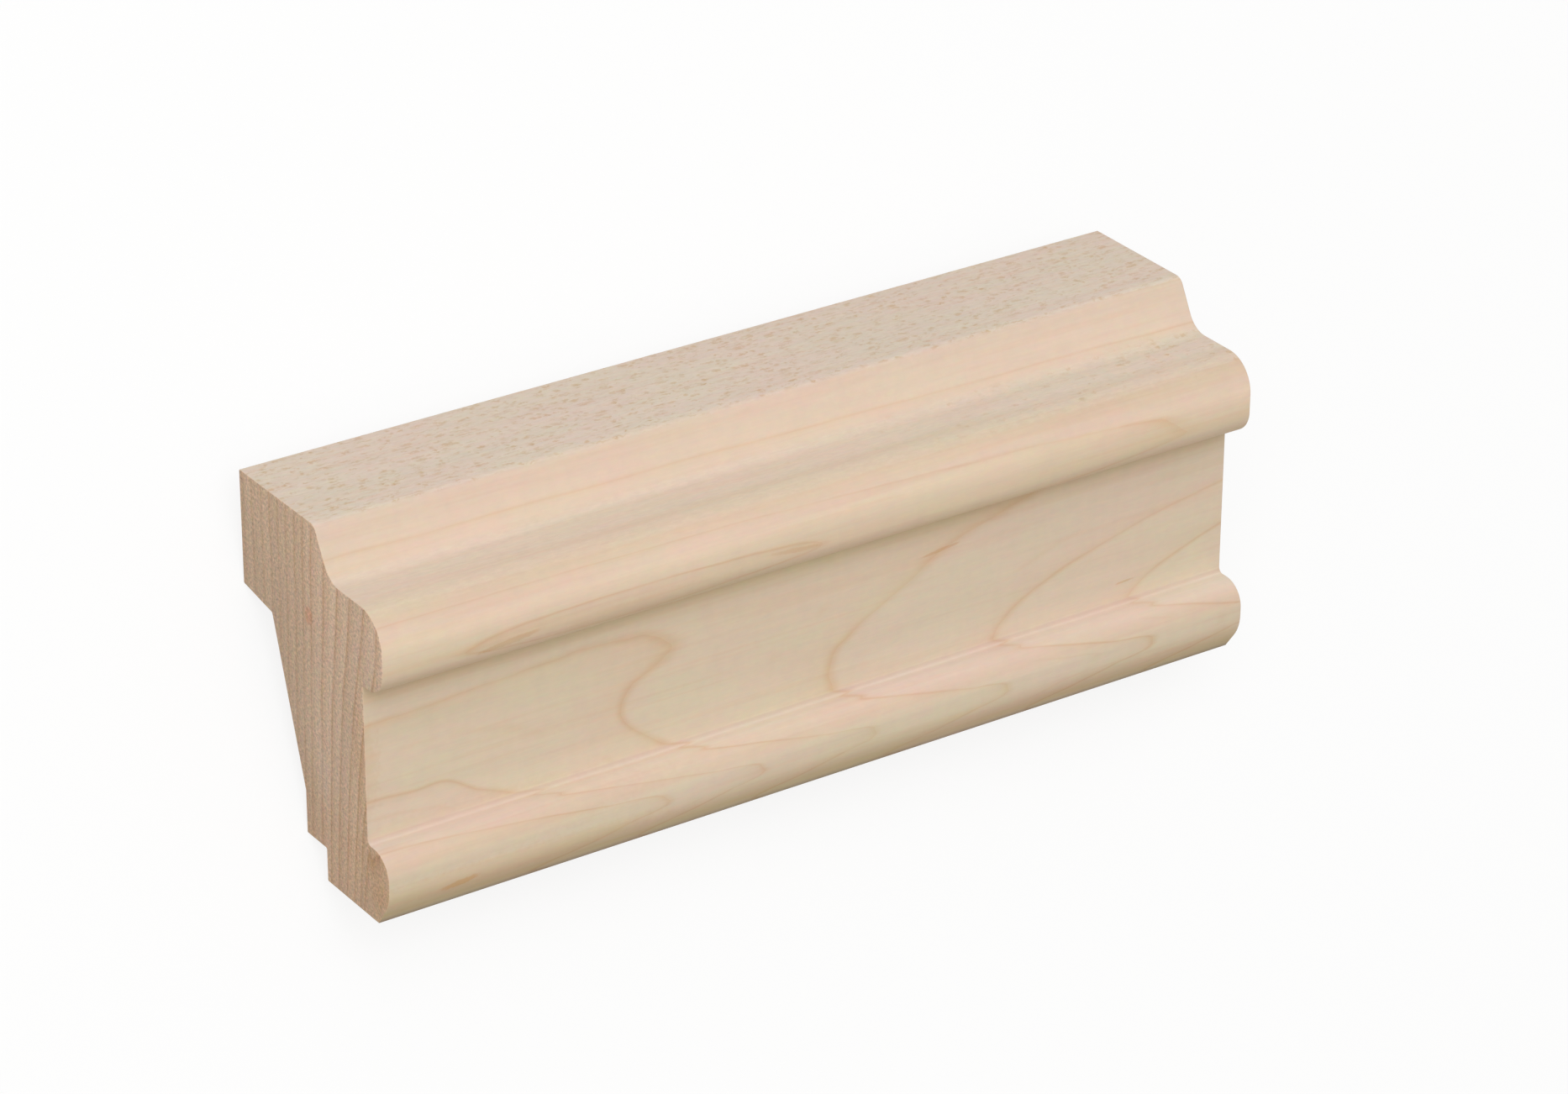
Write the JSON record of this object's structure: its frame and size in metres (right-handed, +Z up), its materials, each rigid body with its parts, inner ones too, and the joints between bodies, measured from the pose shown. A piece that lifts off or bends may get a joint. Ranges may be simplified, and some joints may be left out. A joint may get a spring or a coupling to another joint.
{
  "type": "light rail moulding",
  "caption": "Sawn length of hardwood rail with a flat flange, a cove, beads round a set-back fascia and a rabbeted foot, fixed under a wall cupboard to hide its lamps.",
  "frame": {"origin": "on the level floor, under the middle of the box of the piece as it lies", "axes": "+X along the length, +Z up from the floor as the loose piece lies, +Y towards the side where the flange's flat top faces; the beaded face looks up and towards -Y"},
  "size_m": [0.1016, 0.0448, 0.0255],
  "materials": {
    "maple": "unfinished, planed and lightly sanded"
  },
  "bodies": {
    "root": {"light_rail": "maple"}
  },
  "joints": []
}
